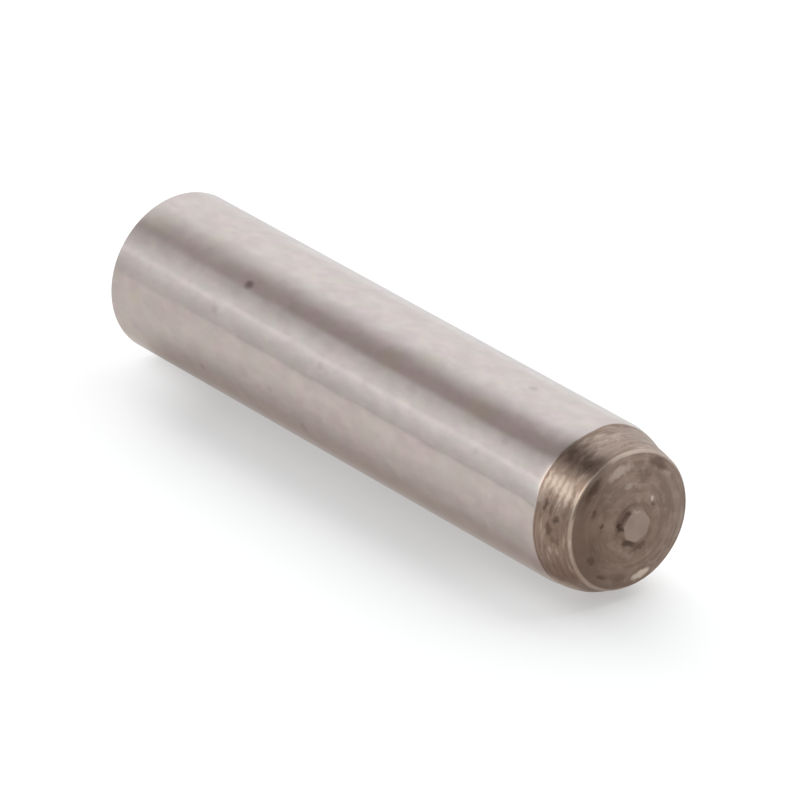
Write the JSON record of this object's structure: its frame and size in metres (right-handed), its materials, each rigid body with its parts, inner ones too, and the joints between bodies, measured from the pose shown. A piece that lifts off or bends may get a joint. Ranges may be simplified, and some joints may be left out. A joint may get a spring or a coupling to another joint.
{
  "type": "dowel pin",
  "caption": "Round ground steel dowel pin with a tapered lead-in, a crowned face with a low centre button at one end, and a plain flat end.",
  "frame": {"origin": "centre of the flat end that the pin stands on", "axes": "+Z along the pin's axis, from the flat end to the crowned end; X and Y are free, because the pin is round"},
  "size_m": [0.006, 0.006, 0.0265],
  "materials": {
    "steel": "fine ground shank with a satin shine, and a duller brown-grey turned lead-in and crowned face"
  },
  "bodies": {
    "root": {"dowel_pin": "steel"}
  },
  "joints": []
}
